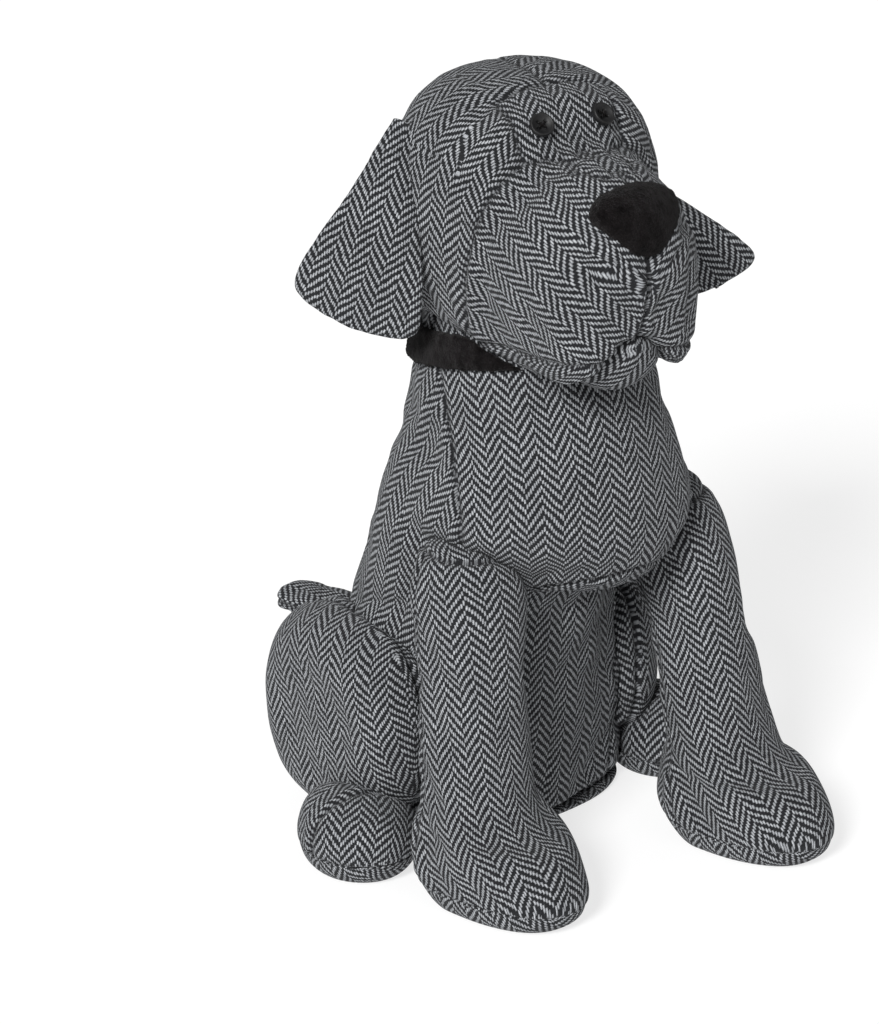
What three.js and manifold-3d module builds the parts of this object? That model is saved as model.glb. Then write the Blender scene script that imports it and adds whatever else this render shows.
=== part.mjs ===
// A weighted fabric door stop: a sitting dog sewn from herringbone tweed and stuffed, in millimetres.
// The dog faces -Y, its left side is +X and +Z is up. The origin is the middle of the base, on the floor.
// Each stuffed piece is a pouch, a loft through rings of cloth. A piece that is sewn to another starts
// inside it and is cut back to the seam, so the two meet along their true seam.

import * as THREE from "three";
import { mergeVertices } from "three/addons/utils/BufferGeometryUtils.js";
import Module from "manifold-3d";

const wasm = await Module();
wasm.setup();

// The gap that a seam leaves between two sewn pieces
const SEAM_GAP = 0.3;

// Height of the middle of the skull above the floor, which the neck and the collar follow
const HEAD_HEIGHT = 235.5;
const NECK_BELOW_HEAD = 29.5;
const COLLAR_BELOW_HEAD = 45.5;

// Trunk: from the seat on the floor up to the neck
const SEAT_HALF_WIDTH = 57;
const SEAT_HALF_DEPTH = 45;
const HIP_HALF_WIDTH = 59;
const HIP_HEIGHT = 34;
const WAIST_HALF_WIDTH = 52;
const WAIST_HALF_DEPTH = 39;
const WAIST_HEIGHT = 82;
const WAIST_FORWARD = 14;
const SHOULDER_HALF_WIDTH = 53;
const SHOULDER_HALF_DEPTH = 40;
const SHOULDER_HEIGHT = 128;
const SHOULDER_FORWARD = 26;
const NECK_RADIUS = 35.5;
const NECK_HEIGHT = HEAD_HEIGHT - NECK_BELOW_HEAD;
const NECK_FORWARD = 35;

// Chest: the pouch that hangs over the belly
const CHEST_BOTTOM = 98;
const CHEST_HEIGHT = 129;
const CHEST_HALF_WIDTH = 54;
const CHEST_HALF_DEPTH = 46;
const CHEST_FORWARD = 45;

// Base panel and the bag of sand that stands on it
const BASE_THICKNESS = 3;
const BAG_HALF_WIDTH = 47;
const BAG_HALF_DEPTH = 36;
const BAG_HEIGHT = 90;

// Front legs: tubes that end in a flat-soled paw
const LEG_RADIUS = 18.7;
const LEG_TOP_HEIGHT = 116;
const PAW_HALF_WIDTH = 23.5;
const PAW_REACH = 48;
const PAW_HEEL = 21;
const PAW_HEIGHT = 34;
const SOLE_HEIGHT = 9;
const RIGHT_LEG = { topX: -41, topY: -53, footX: -54, footY: -70, turn: 4, bow: 0 };
const LEFT_LEG = { topX: 50.5, topY: -56, footX: 46.5, footY: -88, turn: 6, bow: 3 };

// Hind legs: a flat cushion for the thigh, with a round paw under it
const THIGH_HALF_LENGTH = 37.5;
const THIGH_HALF_HEIGHT = 38;
const THIGH_CENTRE_HEIGHT = 45;
const THIGH_CENTRE_Y = 0;
const THIGH_OUTSIDE = 74;
const HIND_PAW_HALF_WIDTH = 20.5;
const HIND_PAW_HALF_LENGTH = 23;
const HIND_PAW_HEIGHT = 31;
const RIGHT_HIND_PAW = { x: -72, y: -27 };
const LEFT_HIND_PAW = { x: 69, y: -32 };

// Tail
const TAIL_LENGTH = 94;
const TAIL_HALF_WIDTH = 9.5;
const TAIL_HALF_THICKNESS = 6.5;
const TAIL_HEIGHT = 49;
const TAIL_SWING = 10;

// Collar: a plush band round the neck
const COLLAR_WIDTH = 12;
const COLLAR_THICKNESS = 3.6;
const COLLAR_HEIGHT = HEAD_HEIGHT - COLLAR_BELOW_HEAD;
const COLLAR_TILT = 8;

// Head: the skull with the muzzle and its hanging jowls, measured from the middle of the skull
const HEAD_YAW = 9;
const HEAD_ASIDE = 2;
const SKULL_HALF_WIDTH = 47;
const SKULL_BACK = 48;
const CROWN_HEIGHT = 48;
const SKULL_DEPTH_BELOW = 50;
const BROW_FORWARD = 25;
const MUZZLE_FORWARD = 77;
const MUZZLE_HALF_WIDTH = 27;
const BRIDGE_HEIGHT = 27;
const MOUTH_DEPTH = 28;
const JOWL_DROP = 50;

// Chin pouch, nose, eyes and ears
const CHIN_HALF_WIDTH = 19;
const CHIN_HALF_DEPTH = 18;
const CHIN_BOTTOM = 52;
const NOSE_HALF_WIDTH = 17;
const NOSE_HALF_HEIGHT = 14;
const NOSE_BULGE = 8;
const NOSE_HEIGHT = 13;
const NOSE_SET_BACK = 7;
const BUTTON_RADIUS = 4.3;
const BUTTON_THICKNESS = 2.4;
const BUTTON_RIM = 0.9;
const BUTTON_HOLE_RADIUS = 0.55;
const BUTTON_HOLE_SPACING = 1.9;
const EYE_SPACING = 24;
const EYE_FORWARD = 30;
const EYE_HEIGHT = 34.6;
const EAR_THICKNESS = 7;
const RIGHT_EAR = { root: [-42, 8, 27], front: [-50, -12, -38.5], back: [-83.5, 18, -23], curl: -5 };
const LEFT_EAR = { root: [45, 2, -2], front: [50, -14, -42], back: [87, -18, -31], curl: 4 };

const cloth = (color, roughness) => new THREE.MeshStandardMaterial({ color, roughness, metalness: 0 });
const TWEED = cloth("#5b5e61", 0.95);
const PLUSH = cloth("#1a1819", 0.98);
const BUTTON = cloth("#151515", 0.5);
const CALICO = cloth("#b9ad97", 0.95);

// Rings: each has a place `at` along the pouch, a centre x and y, and a reach each way.
// `taper` narrows the back, `lobes` lets the two front corners hang, `square` above 2 fills the corners.
const REACHES = ["left", "right", "front", "back"];
const OTHERS = ["at", "x", "y", "taper", "lobes", "square"];

function ring({ side, depth, ...given }) {
  const reaches = { left: side, right: side, front: depth, back: depth };
  return { x: 0, y: 0, taper: 0, lobes: 0, square: 2, ...reaches, ...given };
}

const isPole = (r) => REACHES.every((reach) => Math.abs(r[reach]) < 1e-6);

function beyond(end, next) {
  const outside = { ...next };
  for (const reach of REACHES) outside[reach] = isPole(end) ? -next[reach] : 2 * end[reach] - next[reach];
  if (!isPole(end)) outside.at = 2 * end.at - next.at;
  return outside;
}

function spline(a, b, c, d, t) {
  return b + 0.5 * t * (c - a + t * (2 * a - 5 * b + 4 * c - d + t * (3 * (b - c) + d - a)));
}

function smoothRings(given, steps) {
  const rings = given.map(ring);
  const padded = [beyond(rings[0], rings[1]), ...rings, beyond(rings.at(-1), rings.at(-2))];
  const smooth = [];
  for (let span = 0; span < rings.length - 1; span++) {
    const four = padded.slice(span, span + 4);
    for (let step = 0; step < steps; step++) {
      const made = {};
      for (const key of [...REACHES, ...OTHERS]) made[key] = spline(...four.map((r) => r[key]), step / steps);
      smooth.push(made);
    }
  }
  return [...smooth, rings.at(-1)];
}

const signedPower = (value, exponent) => Math.sign(value) * Math.abs(value) ** exponent;

function pointOnRing(r, angle, grow) {
  const across = signedPower(Math.cos(angle), 2 / r.square);
  const back = signedPower(Math.sin(angle), 2 / r.square);
  const width = (across > 0 ? r.left : r.right) + grow;
  const hang = back < 0 ? 4 * r.lobes * (across * back) ** 2 : 0;
  return [
    r.x + across * width * (1 - r.taper * back),
    r.y + back * ((back > 0 ? r.back : r.front) + grow) - hang,
  ];
}

function pouch(given, { around = 24, steps = 2, grow = 0, place = (x, y, at) => [x, y, at] } = {}) {
  const rings = smoothRings(given, steps);
  const forward = Math.sign(rings.at(-1).at - rings[0].at);
  const vertices = [];
  const loops = rings.map((r, i) => {
    const past = i === 0 ? -grow : i === rings.length - 1 ? grow : 0;
    const at = r.at + forward * past;
    const count = isPole(r) ? 1 : around;
    const loop = [];
    for (let k = 0; k < count; k++) {
      const [x, y] = count === 1 ? [r.x, r.y] : pointOnRing(r, (2 * Math.PI * k) / around, grow);
      loop.push(vertices.length / 3);
      vertices.push(...place(x, y, at));
    }
    return loop;
  });
  const faces = [];
  const corner = (loop, k) => loop[k % loop.length];
  for (let i = 0; i < loops.length - 1; i++) {
    for (let k = 0; k < around; k++) {
      const [a, b] = [corner(loops[i], k), corner(loops[i], k + 1)];
      const [c, d] = [corner(loops[i + 1], k), corner(loops[i + 1], k + 1)];
      if (a !== b) faces.push(a, b, c);
      if (c !== d) faces.push(b, d, c);
    }
  }
  for (const [end, loop] of [[0, loops[0]], [1, loops.at(-1)]]) {
    for (let k = 1; k < loop.length - 1; k++) {
      faces.push(...(end ? [loop[0], loop[k], loop[k + 1]] : [loop[0], loop[k + 1], loop[k]]));
    }
  }
  const geometry = new THREE.BufferGeometry();
  geometry.setAttribute("position", new THREE.Float32BufferAttribute(vertices, 3));
  geometry.setIndex(faces);
  return solid(geometry);
}

// A closed mesh as a solid. A loft along a falling axis comes inside out and is turned here.
function solid(geometry) {
  geometry.deleteAttribute("normal");
  geometry.deleteAttribute("uv");
  const merged = mergeVertices(geometry);
  const vertProperties = new Float32Array(merged.attributes.position.array);
  const build = (triVerts) => new wasm.Manifold(new wasm.Mesh({ numProp: 3, vertProperties, triVerts }));
  const indices = [...merged.index.array];
  const made = build(new Uint32Array(indices));
  if (made.volume() > 0) return made;
  const turned = [];
  for (let i = 0; i < indices.length; i += 3) turned.push(indices[i], indices[i + 2], indices[i + 1]);
  return build(new Uint32Array(turned));
}

const dog = new THREE.Group();

function add(name, body, material, parent = dog) {
  const { vertProperties, triVerts } = body.getMesh();
  const geometry = new THREE.BufferGeometry();
  geometry.setAttribute("position", new THREE.Float32BufferAttribute(vertProperties, 3));
  geometry.setIndex([...triVerts]);
  const mesh = new THREE.Mesh(geometry, material);
  mesh.name = name;
  parent.add(mesh);
}

// Everything between two heights
function slab(from, to) {
  const width = 4 * HEAD_HEIGHT;
  return solid(new THREE.BoxGeometry(width, width, to - from).translate(0, 0, (from + to) / 2));
}

// A piece cut back to the seams of what it is sewn to, without the offcuts
function sewn(piece, ...seams) {
  const cut = seams.reduce((rest, seam) => rest.subtract(seam), piece);
  return cut.decompose().sort((a, b) => b.volume() - a.volume())[0];
}

// Torso
function trunk(grow = 0) {
  const waist = { side: WAIST_HALF_WIDTH, front: WAIST_HALF_DEPTH, back: WAIST_HALF_DEPTH * 1.18 };
  const shoulder = { side: SHOULDER_HALF_WIDTH, front: SHOULDER_HALF_DEPTH, back: SHOULDER_HALF_DEPTH * 0.875 };
  return pouch(
    [
      { at: BASE_THICKNESS + SEAM_GAP, side: SEAT_HALF_WIDTH, depth: SEAT_HALF_DEPTH, square: 2.8 },
      { at: HIP_HEIGHT, y: -1, side: HIP_HALF_WIDTH, depth: SEAT_HALF_DEPTH, square: 2.6 },
      { at: WAIST_HEIGHT, y: -WAIST_FORWARD, ...waist },
      { at: SHOULDER_HEIGHT, y: -SHOULDER_FORWARD, ...shoulder },
      { at: NECK_HEIGHT, y: -NECK_FORWARD, side: NECK_RADIUS, depth: NECK_RADIUS },
    ],
    { around: 32, steps: 3, grow },
  );
}

function chest(grow = 0) {
  const hang = (height, x, y, wide, deep) => ({
    at: CHEST_BOTTOM + (CHEST_HEIGHT - CHEST_BOTTOM) * height,
    x,
    y: -CHEST_FORWARD - y,
    side: CHEST_HALF_WIDTH * wide,
    depth: CHEST_HALF_DEPTH * deep,
  });
  return pouch(
    [
      hang(0, 4, 6, 0, 0),
      hang(0.11, 4, 5, 0.37, 0.56),
      hang(0.33, 4, 3, 0.58, 0.82),
      hang(0.6, 3, 1, 0.78, 0.95),
      hang(1, 0, 0, 1, 1),
      hang(2, 0, -4, 0.87, 0.93),
      { at: NECK_HEIGHT * 0.995, y: -NECK_FORWARD, side: NECK_RADIUS * 0.985, depth: NECK_RADIUS * 0.985 },
    ],
    { around: 32, steps: 2, grow },
  );
}

const torsoGrown = (grow) => trunk(grow).add(chest(grow));

function basePanel(grow = 0) {
  const outline = { side: SEAT_HALF_WIDTH, depth: SEAT_HALF_DEPTH, square: 2.8 };
  const edge = { side: SEAT_HALF_WIDTH - 1.5, depth: SEAT_HALF_DEPTH - 1.5, square: 2.8 };
  return pouch([{ at: 0, ...edge }, { at: BASE_THICKNESS, ...outline }], { around: 32, steps: 1, grow });
}

const torsoSeam = torsoGrown(SEAM_GAP);
const bodySeam = torsoSeam.add(basePanel(SEAM_GAP));

function sandBag(grow = 0) {
  const level = (height, y, wide, deep, square = 2.6) => ({
    at: BASE_THICKNESS + SEAM_GAP + BAG_HEIGHT * height,
    y,
    side: BAG_HALF_WIDTH * wide,
    depth: BAG_HALF_DEPTH * deep,
    square,
  });
  return pouch(
    [level(0, 0, 0.9, 0.88), level(0.3, -2, 1, 1), level(0.75, -7, 0.86, 0.8, 2.3), level(1, -8, 0, 0, 2)],
    { around: 20, grow },
  );
}

add("torso", torsoGrown(0).subtract(sandBag(SEAM_GAP)), TWEED);
add("ballast_bag", sandBag(), CALICO);
add("base_panel", basePanel(), TWEED);

// Front legs: the foot is cut from the paw at the sole seam
function frontLeg(leg) {
  const lean = (height) => {
    const t = 1 - (height - PAW_HEIGHT) / (LEG_TOP_HEIGHT - PAW_HEIGHT);
    return { x: leg.topX + (leg.footX - leg.topX) * t, y: leg.topY + (leg.footY - leg.topY) * t };
  };
  const foot = { x: leg.footX, y: leg.footY };
  const sole = { x: leg.footX, y: leg.footY - PAW_REACH * 0.12 };
  const middle = (LEG_TOP_HEIGHT + PAW_HEIGHT) / 2;
  const shoulder = LEG_TOP_HEIGHT + LEG_RADIUS * 0.85;
  const paw = (wide, reach, heel, square = 2.2) => ({
    side: PAW_HALF_WIDTH * wide,
    front: PAW_REACH * reach,
    back: PAW_HEEL * heel,
    square,
  });
  const tube = { side: LEG_RADIUS, depth: LEG_RADIUS };
  const ankle = { side: LEG_RADIUS + 0.5, front: LEG_RADIUS + 4, back: LEG_RADIUS };
  const body = pouch([
    { at: 0, ...sole, ...paw(0.78, 0.72, 0.55) },
    { at: SOLE_HEIGHT * 0.45, ...sole, ...paw(0.94, 0.85, 0.8) },
    { at: PAW_HEIGHT * 0.42, ...foot, ...paw(1, 1, 0.95) },
    { at: PAW_HEIGHT * 0.8, ...foot, ...paw(0.94, 0.84, 1, 2.1) },
    { at: PAW_HEIGHT * 1.15, ...lean(PAW_HEIGHT * 1.15), ...ankle },
    { at: middle, ...lean(middle), x: lean(middle).x + leg.bow, ...tube },
    { at: LEG_TOP_HEIGHT, ...lean(LEG_TOP_HEIGHT), ...tube },
    { at: shoulder, ...lean(shoulder), side: 0, depth: 0 },
  ]);
  const turn = (shape, degrees) =>
    shape.translate([-leg.footX, -leg.footY, 0]).rotate([0, 0, degrees]).translate([leg.footX, leg.footY, 0]);
  return turn(body, leg.turn);
}

for (const [side, leg] of [["right", RIGHT_LEG], ["left", LEFT_LEG]]) {
  const whole = frontLeg(leg);
  add(`front_leg_${side}`, sewn(whole, slab(-10, SOLE_HEIGHT + SEAM_GAP), bodySeam), TWEED);
  add(`front_sole_${side}`, sewn(whole.intersect(slab(0, SOLE_HEIGHT)), bodySeam), TWEED);
}

// Hind legs
const sideways = (x, y, at) => [at, x, y];

function thigh(side, grow = 0) {
  const ringAt = (x, share) => ({
    at: side * x,
    x: THIGH_CENTRE_Y,
    y: THIGH_CENTRE_HEIGHT,
    side: THIGH_HALF_LENGTH * share,
    depth: THIGH_HALF_HEIGHT * share,
    square: 2.5,
  });
  return pouch(
    [
      ringAt(THIGH_OUTSIDE * 0.27, 0.8),
      ringAt(THIGH_OUTSIDE * 0.65, 1),
      ringAt(THIGH_OUTSIDE * 0.825, 0.95),
      ringAt(THIGH_OUTSIDE * 0.945, 0.68),
      ringAt(THIGH_OUTSIDE, 0),
    ],
    { grow, place: sideways },
  );
}

function hindPaw({ x, y }) {
  const level = (height, share, lift = 0) => ({
    at: HIND_PAW_HEIGHT * height,
    x,
    y: y + lift,
    side: HIND_PAW_HALF_WIDTH * share,
    depth: HIND_PAW_HALF_LENGTH * share,
  });
  return pouch([level(0, 0.72), level(0.14, 0.92), level(0.45, 1), level(0.8, 0.76, 1), level(1, 0, 2)]);
}

for (const [name, side, paw] of [["right", -1, RIGHT_HIND_PAW], ["left", 1, LEFT_HIND_PAW]]) {
  add(`thigh_${name}`, sewn(thigh(side), torsoSeam), TWEED);
  const whole = hindPaw(paw);
  const thighSeam = thigh(side, SEAM_GAP);
  add(`hind_paw_${name}`, sewn(whole, slab(-10, SOLE_HEIGHT + SEAM_GAP), thighSeam, bodySeam), TWEED);
  add(`hind_sole_${name}`, sewn(whole.intersect(slab(0, SOLE_HEIGHT)), thighSeam, bodySeam), TWEED);
}

// Tail
function tail() {
  const width = TAIL_HALF_WIDTH;
  const thickness = TAIL_HALF_THICKNESS;
  const along = (share, size) => ({
    at: TAIL_LENGTH * share,
    x: -TAIL_SWING * share * share,
    y: TAIL_HEIGHT,
    side: width * size,
    depth: thickness * size,
  });
  return pouch([along(0.25, 1), along(0.6, 1.05), along(0.9, 0.95), along(0.97, 0.66), along(1, 0)], {
    around: 16,
    place: (x, y, at) => [x, at, y],
  });
}

add("tail", sewn(tail(), torsoSeam), TWEED);

// Head, in its own frame: X is its left, -Y is forward and the origin is the middle of the skull
const headFrame = (body) =>
  body.rotate([0, 0, -HEAD_YAW]).translate([-HEAD_ASIDE, -NECK_FORWARD + 1, HEAD_HEIGHT]);
const forward = (x, y, at) => [x, -at, y];

function headShape(grow = 0) {
  const skull = (at, share, extra = {}) => ({
    at,
    side: SKULL_HALF_WIDTH * share,
    back: CROWN_HEIGHT * share,
    front: SKULL_DEPTH_BELOW * share,
    square: 2.4,
    ...extra,
  });
  const muzzle = (at, wide, top, mouth, lobes, taper) => ({
    at,
    side: MUZZLE_HALF_WIDTH * wide,
    back: BRIDGE_HEIGHT * top,
    front: MOUTH_DEPTH * mouth,
    lobes: (JOWL_DROP - MOUTH_DEPTH) * lobes,
    taper,
    square: 2.3,
  });
  return pouch(
    [
      skull(-SKULL_BACK, 0),
      skull(-SKULL_BACK * 0.84, 0.6, { front: SKULL_DEPTH_BELOW * 0.76 }),
      skull(-SKULL_BACK * 0.42, 0.94, { front: SKULL_DEPTH_BELOW * 0.98 }),
      skull(0, 1, { lobes: 1 }),
      skull(BROW_FORWARD * 0.64, 0.93, { front: SKULL_DEPTH_BELOW, lobes: 2 }),
      skull(BROW_FORWARD, 0.85, { back: CROWN_HEIGHT * 0.87, front: SKULL_DEPTH_BELOW, lobes: 4 }),
      muzzle(BROW_FORWARD * 1.4, 1.24, 1.09, 1.74, 0.25, 0.1),
      muzzle(MUZZLE_FORWARD * 0.66, 1.14, 1.04, 1.45, 0.5, 0.2),
      muzzle(MUZZLE_FORWARD * 0.82, 1.02, 0.96, 1.12, 0.75, 0.28),
      muzzle(MUZZLE_FORWARD * 0.94, 0.8, 0.66, 0.98, 0.6, 0.26),
      muzzle(MUZZLE_FORWARD, 0.46, 0.3, 0.66, 0.1, 0.1),
      { at: MUZZLE_FORWARD * 1.026, y: -BRIDGE_HEIGHT * 0.22, side: 0, depth: 0 },
    ],
    { around: 32, steps: 2, grow, place: forward },
  );
}

const head = headFrame(headShape());
const headSeam = headFrame(headShape(SEAM_GAP));
add("head", sewn(head, torsoSeam), TWEED);

// Collar: the neck's own form made thicker, between two heights
const collarBand = slab(-COLLAR_WIDTH / 2, COLLAR_WIDTH / 2)
  .rotate([-COLLAR_TILT, 0, 0])
  .translate([0, -NECK_FORWARD, COLLAR_HEIGHT]);
add("collar", sewn(torsoGrown(COLLAR_THICKNESS).intersect(collarBand), torsoSeam, headSeam), PLUSH);

// Chin: a pouch sewn between the jowls
const chinRing = (share, y, wide, deep) => ({
  at: MUZZLE_FORWARD * share,
  y: -CHIN_BOTTOM * y,
  side: CHIN_HALF_WIDTH * wide,
  depth: CHIN_HALF_DEPTH * deep,
});
const chin = pouch(
  [
    chinRing(0.4, 0.58, 0.8, 0.78),
    chinRing(0.66, 0.635, 1, 1),
    chinRing(0.84, 0.635, 0.86, 0.83),
    chinRing(0.93, 0.615, 0, 0),
  ],
  { around: 20, place: forward },
);
add("chin", sewn(headFrame(chin), headSeam, torsoSeam), TWEED);

// Nose: a rounded triangle of plush over the end of the muzzle
const noseFacing = new THREE.Matrix4()
  .makeTranslation(0, -MUZZLE_FORWARD + NOSE_SET_BACK, NOSE_HEIGHT)
  .multiply(new THREE.Matrix4().makeRotationX(THREE.MathUtils.degToRad(-28)));
const nose = pouch(
  [
    { at: -NOSE_BULGE * 1.5, side: NOSE_HALF_WIDTH * 0.9, front: NOSE_HALF_HEIGHT, back: NOSE_HALF_HEIGHT * 0.8, taper: -0.25 },
    { at: 0, side: NOSE_HALF_WIDTH, front: NOSE_HALF_HEIGHT * 1.1, back: NOSE_HALF_HEIGHT * 0.9, taper: -0.25 },
    { at: NOSE_BULGE * 0.7, side: NOSE_HALF_WIDTH * 0.7, depth: NOSE_HALF_HEIGHT * 0.7, taper: -0.2 },
    { at: NOSE_BULGE, side: 0, depth: 0 },
  ],
  {
    around: 20,
    place: (x, y, at) => new THREE.Vector3(x, -at, y).applyMatrix4(noseFacing).toArray(),
  },
);
add("nose", sewn(headFrame(nose), headSeam), PLUSH);

// Eyes: dished four-hole buttons on a thread shank
function button() {
  const profile = [
    [0, 0],
    [BUTTON_RADIUS * 0.8, 0],
    [BUTTON_RADIUS, BUTTON_THICKNESS * 0.4],
    [BUTTON_RADIUS * 0.97, BUTTON_THICKNESS * 0.85],
    [BUTTON_RADIUS - BUTTON_RIM * 0.5, BUTTON_THICKNESS],
    [BUTTON_RADIUS - BUTTON_RIM, BUTTON_THICKNESS * 0.9],
    [BUTTON_RADIUS - BUTTON_RIM * 1.5, BUTTON_THICKNESS * 0.6],
    [0, BUTTON_THICKNESS * 0.55],
  ].map(([x, y]) => new THREE.Vector2(x, y));
  let made = solid(new THREE.LatheGeometry(profile, 24));
  for (const [x, z] of [[1, 1], [1, -1], [-1, 1], [-1, -1]]) {
    const place = BUTTON_HOLE_SPACING / 2;
    const hole = new THREE.CylinderGeometry(BUTTON_HOLE_RADIUS, BUTTON_HOLE_RADIUS, 4 * BUTTON_THICKNESS, 6);
    made = made.subtract(solid(hole.translate(x * place, 0, z * place)));
  }
  return made.rotate([180, 0, 0]);
}

for (const [name, side] of [["right", -1], ["left", 1]]) {
  const eye = button().rotate([-40, 0, 0]).rotate([0, 0, side * 14]).translate([(side * EYE_SPACING) / 2, -EYE_FORWARD, EYE_HEIGHT]);
  add(`eye_${name}`, sewn(headFrame(eye), headSeam), BUTTON);
}

// Ears: flat pouches that hang from the sides of the skull
function ear({ root, front, back, curl }) {
  const [top, near, far] = [root, front, back].map((point) => new THREE.Vector3(...point));
  const middle = near.clone().add(far).multiplyScalar(0.5);
  const down = middle.clone().sub(top);
  const length = down.length();
  const halfWidth = near.distanceTo(far) / 2;
  down.normalize();
  const across = far.clone().sub(near);
  across.normalize();
  const through = new THREE.Vector3().crossVectors(down, across).normalize();
  const along = (share, wide, thick = 1) => ({
    at: length * share,
    y: 4 * curl * share * (1 - share),
    side: halfWidth * wide,
    depth: (EAR_THICKNESS / 2) * thick,
  });
  return pouch(
    [
      along(-0.08, 0.3, 0.8),
      along(0, 0.36),
      along(0.35, 0.58),
      along(0.7, 0.88),
      along(0.93, 1),
      along(1.03, 0.78, 0.9),
      along(1.09, 0),
    ],
    {
      around: 20,
      place: (x, y, at) =>
        top.clone().addScaledVector(down, at).addScaledVector(across, x).addScaledVector(through, y).toArray(),
    },
  );
}

add("ear_right", sewn(headFrame(ear(RIGHT_EAR)), headSeam), TWEED);
add("ear_left", sewn(headFrame(ear(LEFT_EAR)), headSeam), TWEED);

export default dog;
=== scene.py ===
"""Dresses the sitting-dog door stop: sewn herringbone tweed, black plush nose and collar, button eyes.

Lengths are in millimetres until a mesh is made, and the dog faces -Y with its left at +X.
Each stuffed piece is the same loft of cloth rings as its solid, made finer. It is cut into panels
along its real seams, the panels are flattened, and the weave is drawn on the flat cloth.
"""

import math
from functools import partial

import bmesh
import bpy
import numpy as np
from mathutils import Matrix, Vector, noise
from mathutils.bvhtree import BVHTree
from mathutils.kdtree import KDTree


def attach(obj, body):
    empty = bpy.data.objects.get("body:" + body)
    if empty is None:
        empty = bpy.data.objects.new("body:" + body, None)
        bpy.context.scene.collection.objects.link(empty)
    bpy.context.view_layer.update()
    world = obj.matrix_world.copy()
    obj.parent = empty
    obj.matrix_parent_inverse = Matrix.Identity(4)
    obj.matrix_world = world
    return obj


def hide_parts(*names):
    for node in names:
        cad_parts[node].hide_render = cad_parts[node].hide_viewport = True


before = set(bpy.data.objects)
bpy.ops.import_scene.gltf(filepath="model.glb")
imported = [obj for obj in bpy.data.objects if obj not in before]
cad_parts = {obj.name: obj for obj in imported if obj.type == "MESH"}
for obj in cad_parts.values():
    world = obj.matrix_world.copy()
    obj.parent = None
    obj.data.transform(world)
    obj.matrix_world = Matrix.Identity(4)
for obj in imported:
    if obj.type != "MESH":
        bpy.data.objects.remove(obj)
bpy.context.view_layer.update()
MM = 0.001

# Camera, from the photograph's view of the four paws and the collar
CAMERA_AZIMUTH = -40.0
CAMERA_ELEVATION = 22.0
CAMERA_DISTANCE = 1700.0
PIXELS_PER_MM = 2.7
IMAGE_SIZE = (879, 1024)
ORIGIN_PIXEL = (464.0, 783.0)


def add_camera():
    a, e = math.radians(CAMERA_AZIMUTH), math.radians(CAMERA_ELEVATION)
    right = Vector((math.cos(a), math.sin(a), 0))
    back = Vector((math.sin(a) * math.cos(e), -math.cos(a) * math.cos(e), math.sin(e)))
    up = back.cross(right)
    aside = (ORIGIN_PIXEL[0] - IMAGE_SIZE[0] / 2) / PIXELS_PER_MM
    above = (IMAGE_SIZE[1] / 2 - ORIGIN_PIXEL[1]) / PIXELS_PER_MM
    data = bpy.data.cameras.new("camera")
    data.sensor_width = 36.0
    data.lens = data.sensor_width * PIXELS_PER_MM * CAMERA_DISTANCE / IMAGE_SIZE[1]
    camera = bpy.data.objects.new("camera", data)
    place = Matrix((right, up, back)).transposed().to_4x4()
    place.translation = (back * CAMERA_DISTANCE - right * aside - up * above) * MM
    camera.matrix_world = place
    bpy.context.scene.collection.objects.link(camera)
    bpy.context.scene.camera = camera


# Lofts of cloth rings

REACHES = ("left", "right", "front", "back")


def ring(at, side=0.0, depth=0.0, x=0.0, y=0.0, taper=0.0, lobes=0.0, square=2.0, **reach):
    reaches = {"left": side, "right": side, "front": depth, "back": depth, **reach}
    return np.array([at, x, y, taper, lobes, square, *(reaches[name] for name in REACHES)], float)


def is_pole(one):
    return bool(np.all(np.abs(one[6:]) < 1e-6))


def beyond(end, following):
    outside = following.copy()
    if is_pole(end):
        outside[6:] = -following[6:]
    else:
        outside[6:] = 2 * end[6:] - following[6:]
        outside[0] = 2 * end[0] - following[0]
    return outside


def smooth_rings(rings, spacing):
    padded = [beyond(rings[0], rings[1]), *rings, beyond(rings[-1], rings[-2])]
    smooth = []
    for span in range(len(rings) - 1):
        a, b, c, d = padded[span : span + 4]
        length = math.hypot(c[0] - b[0], np.abs(c[6:] - b[6:]).max()) + np.abs(c[1:3] - b[1:3]).max()
        steps = max(2, round(length / spacing))
        for step in range(steps):
            t = step / steps
            bend = c - a + t * (2 * a - 5 * b + 4 * c - d + t * (3 * (b - c) + d - a))
            smooth.append(b + 0.5 * t * bend)
    return [*smooth, rings[-1]]


def signed_power(values, exponent):
    return np.sign(values) * np.abs(values) ** exponent


def ring_points(one, around, shrink=1.0):
    at, x, y, taper, lobes, square, left, right, front, back = one
    angle = np.arange(around) * 2 * math.pi / around
    across = signed_power(np.cos(angle), 2 / square)
    deep = signed_power(np.sin(angle), 2 / square)
    width = np.where(across > 0, left, right)
    hang = np.where(deep < 0, 4 * lobes * (across * deep) ** 2, 0)
    return np.stack(
        [
            x + shrink * across * width * (1 - taper * deep),
            y + shrink * (deep * np.where(deep > 0, back, front) - hang),
            np.full(around, at),
        ],
        1,
    )


def bands(loops, around):
    """The faces between each loop and the next, each with the half of the turn that it lies in."""
    for low, high in zip(loops, loops[1:]):
        for k in range(around):
            a, b = low[k % len(low)], low[(k + 1) % len(low)]
            c, d = high[(k + 1) % len(high)], high[k % len(high)]
            corners = (a, b, c, d)
            yield [v for i, v in enumerate(corners) if v not in corners[:i]], 1 if k < around / 2 else 2


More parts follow.
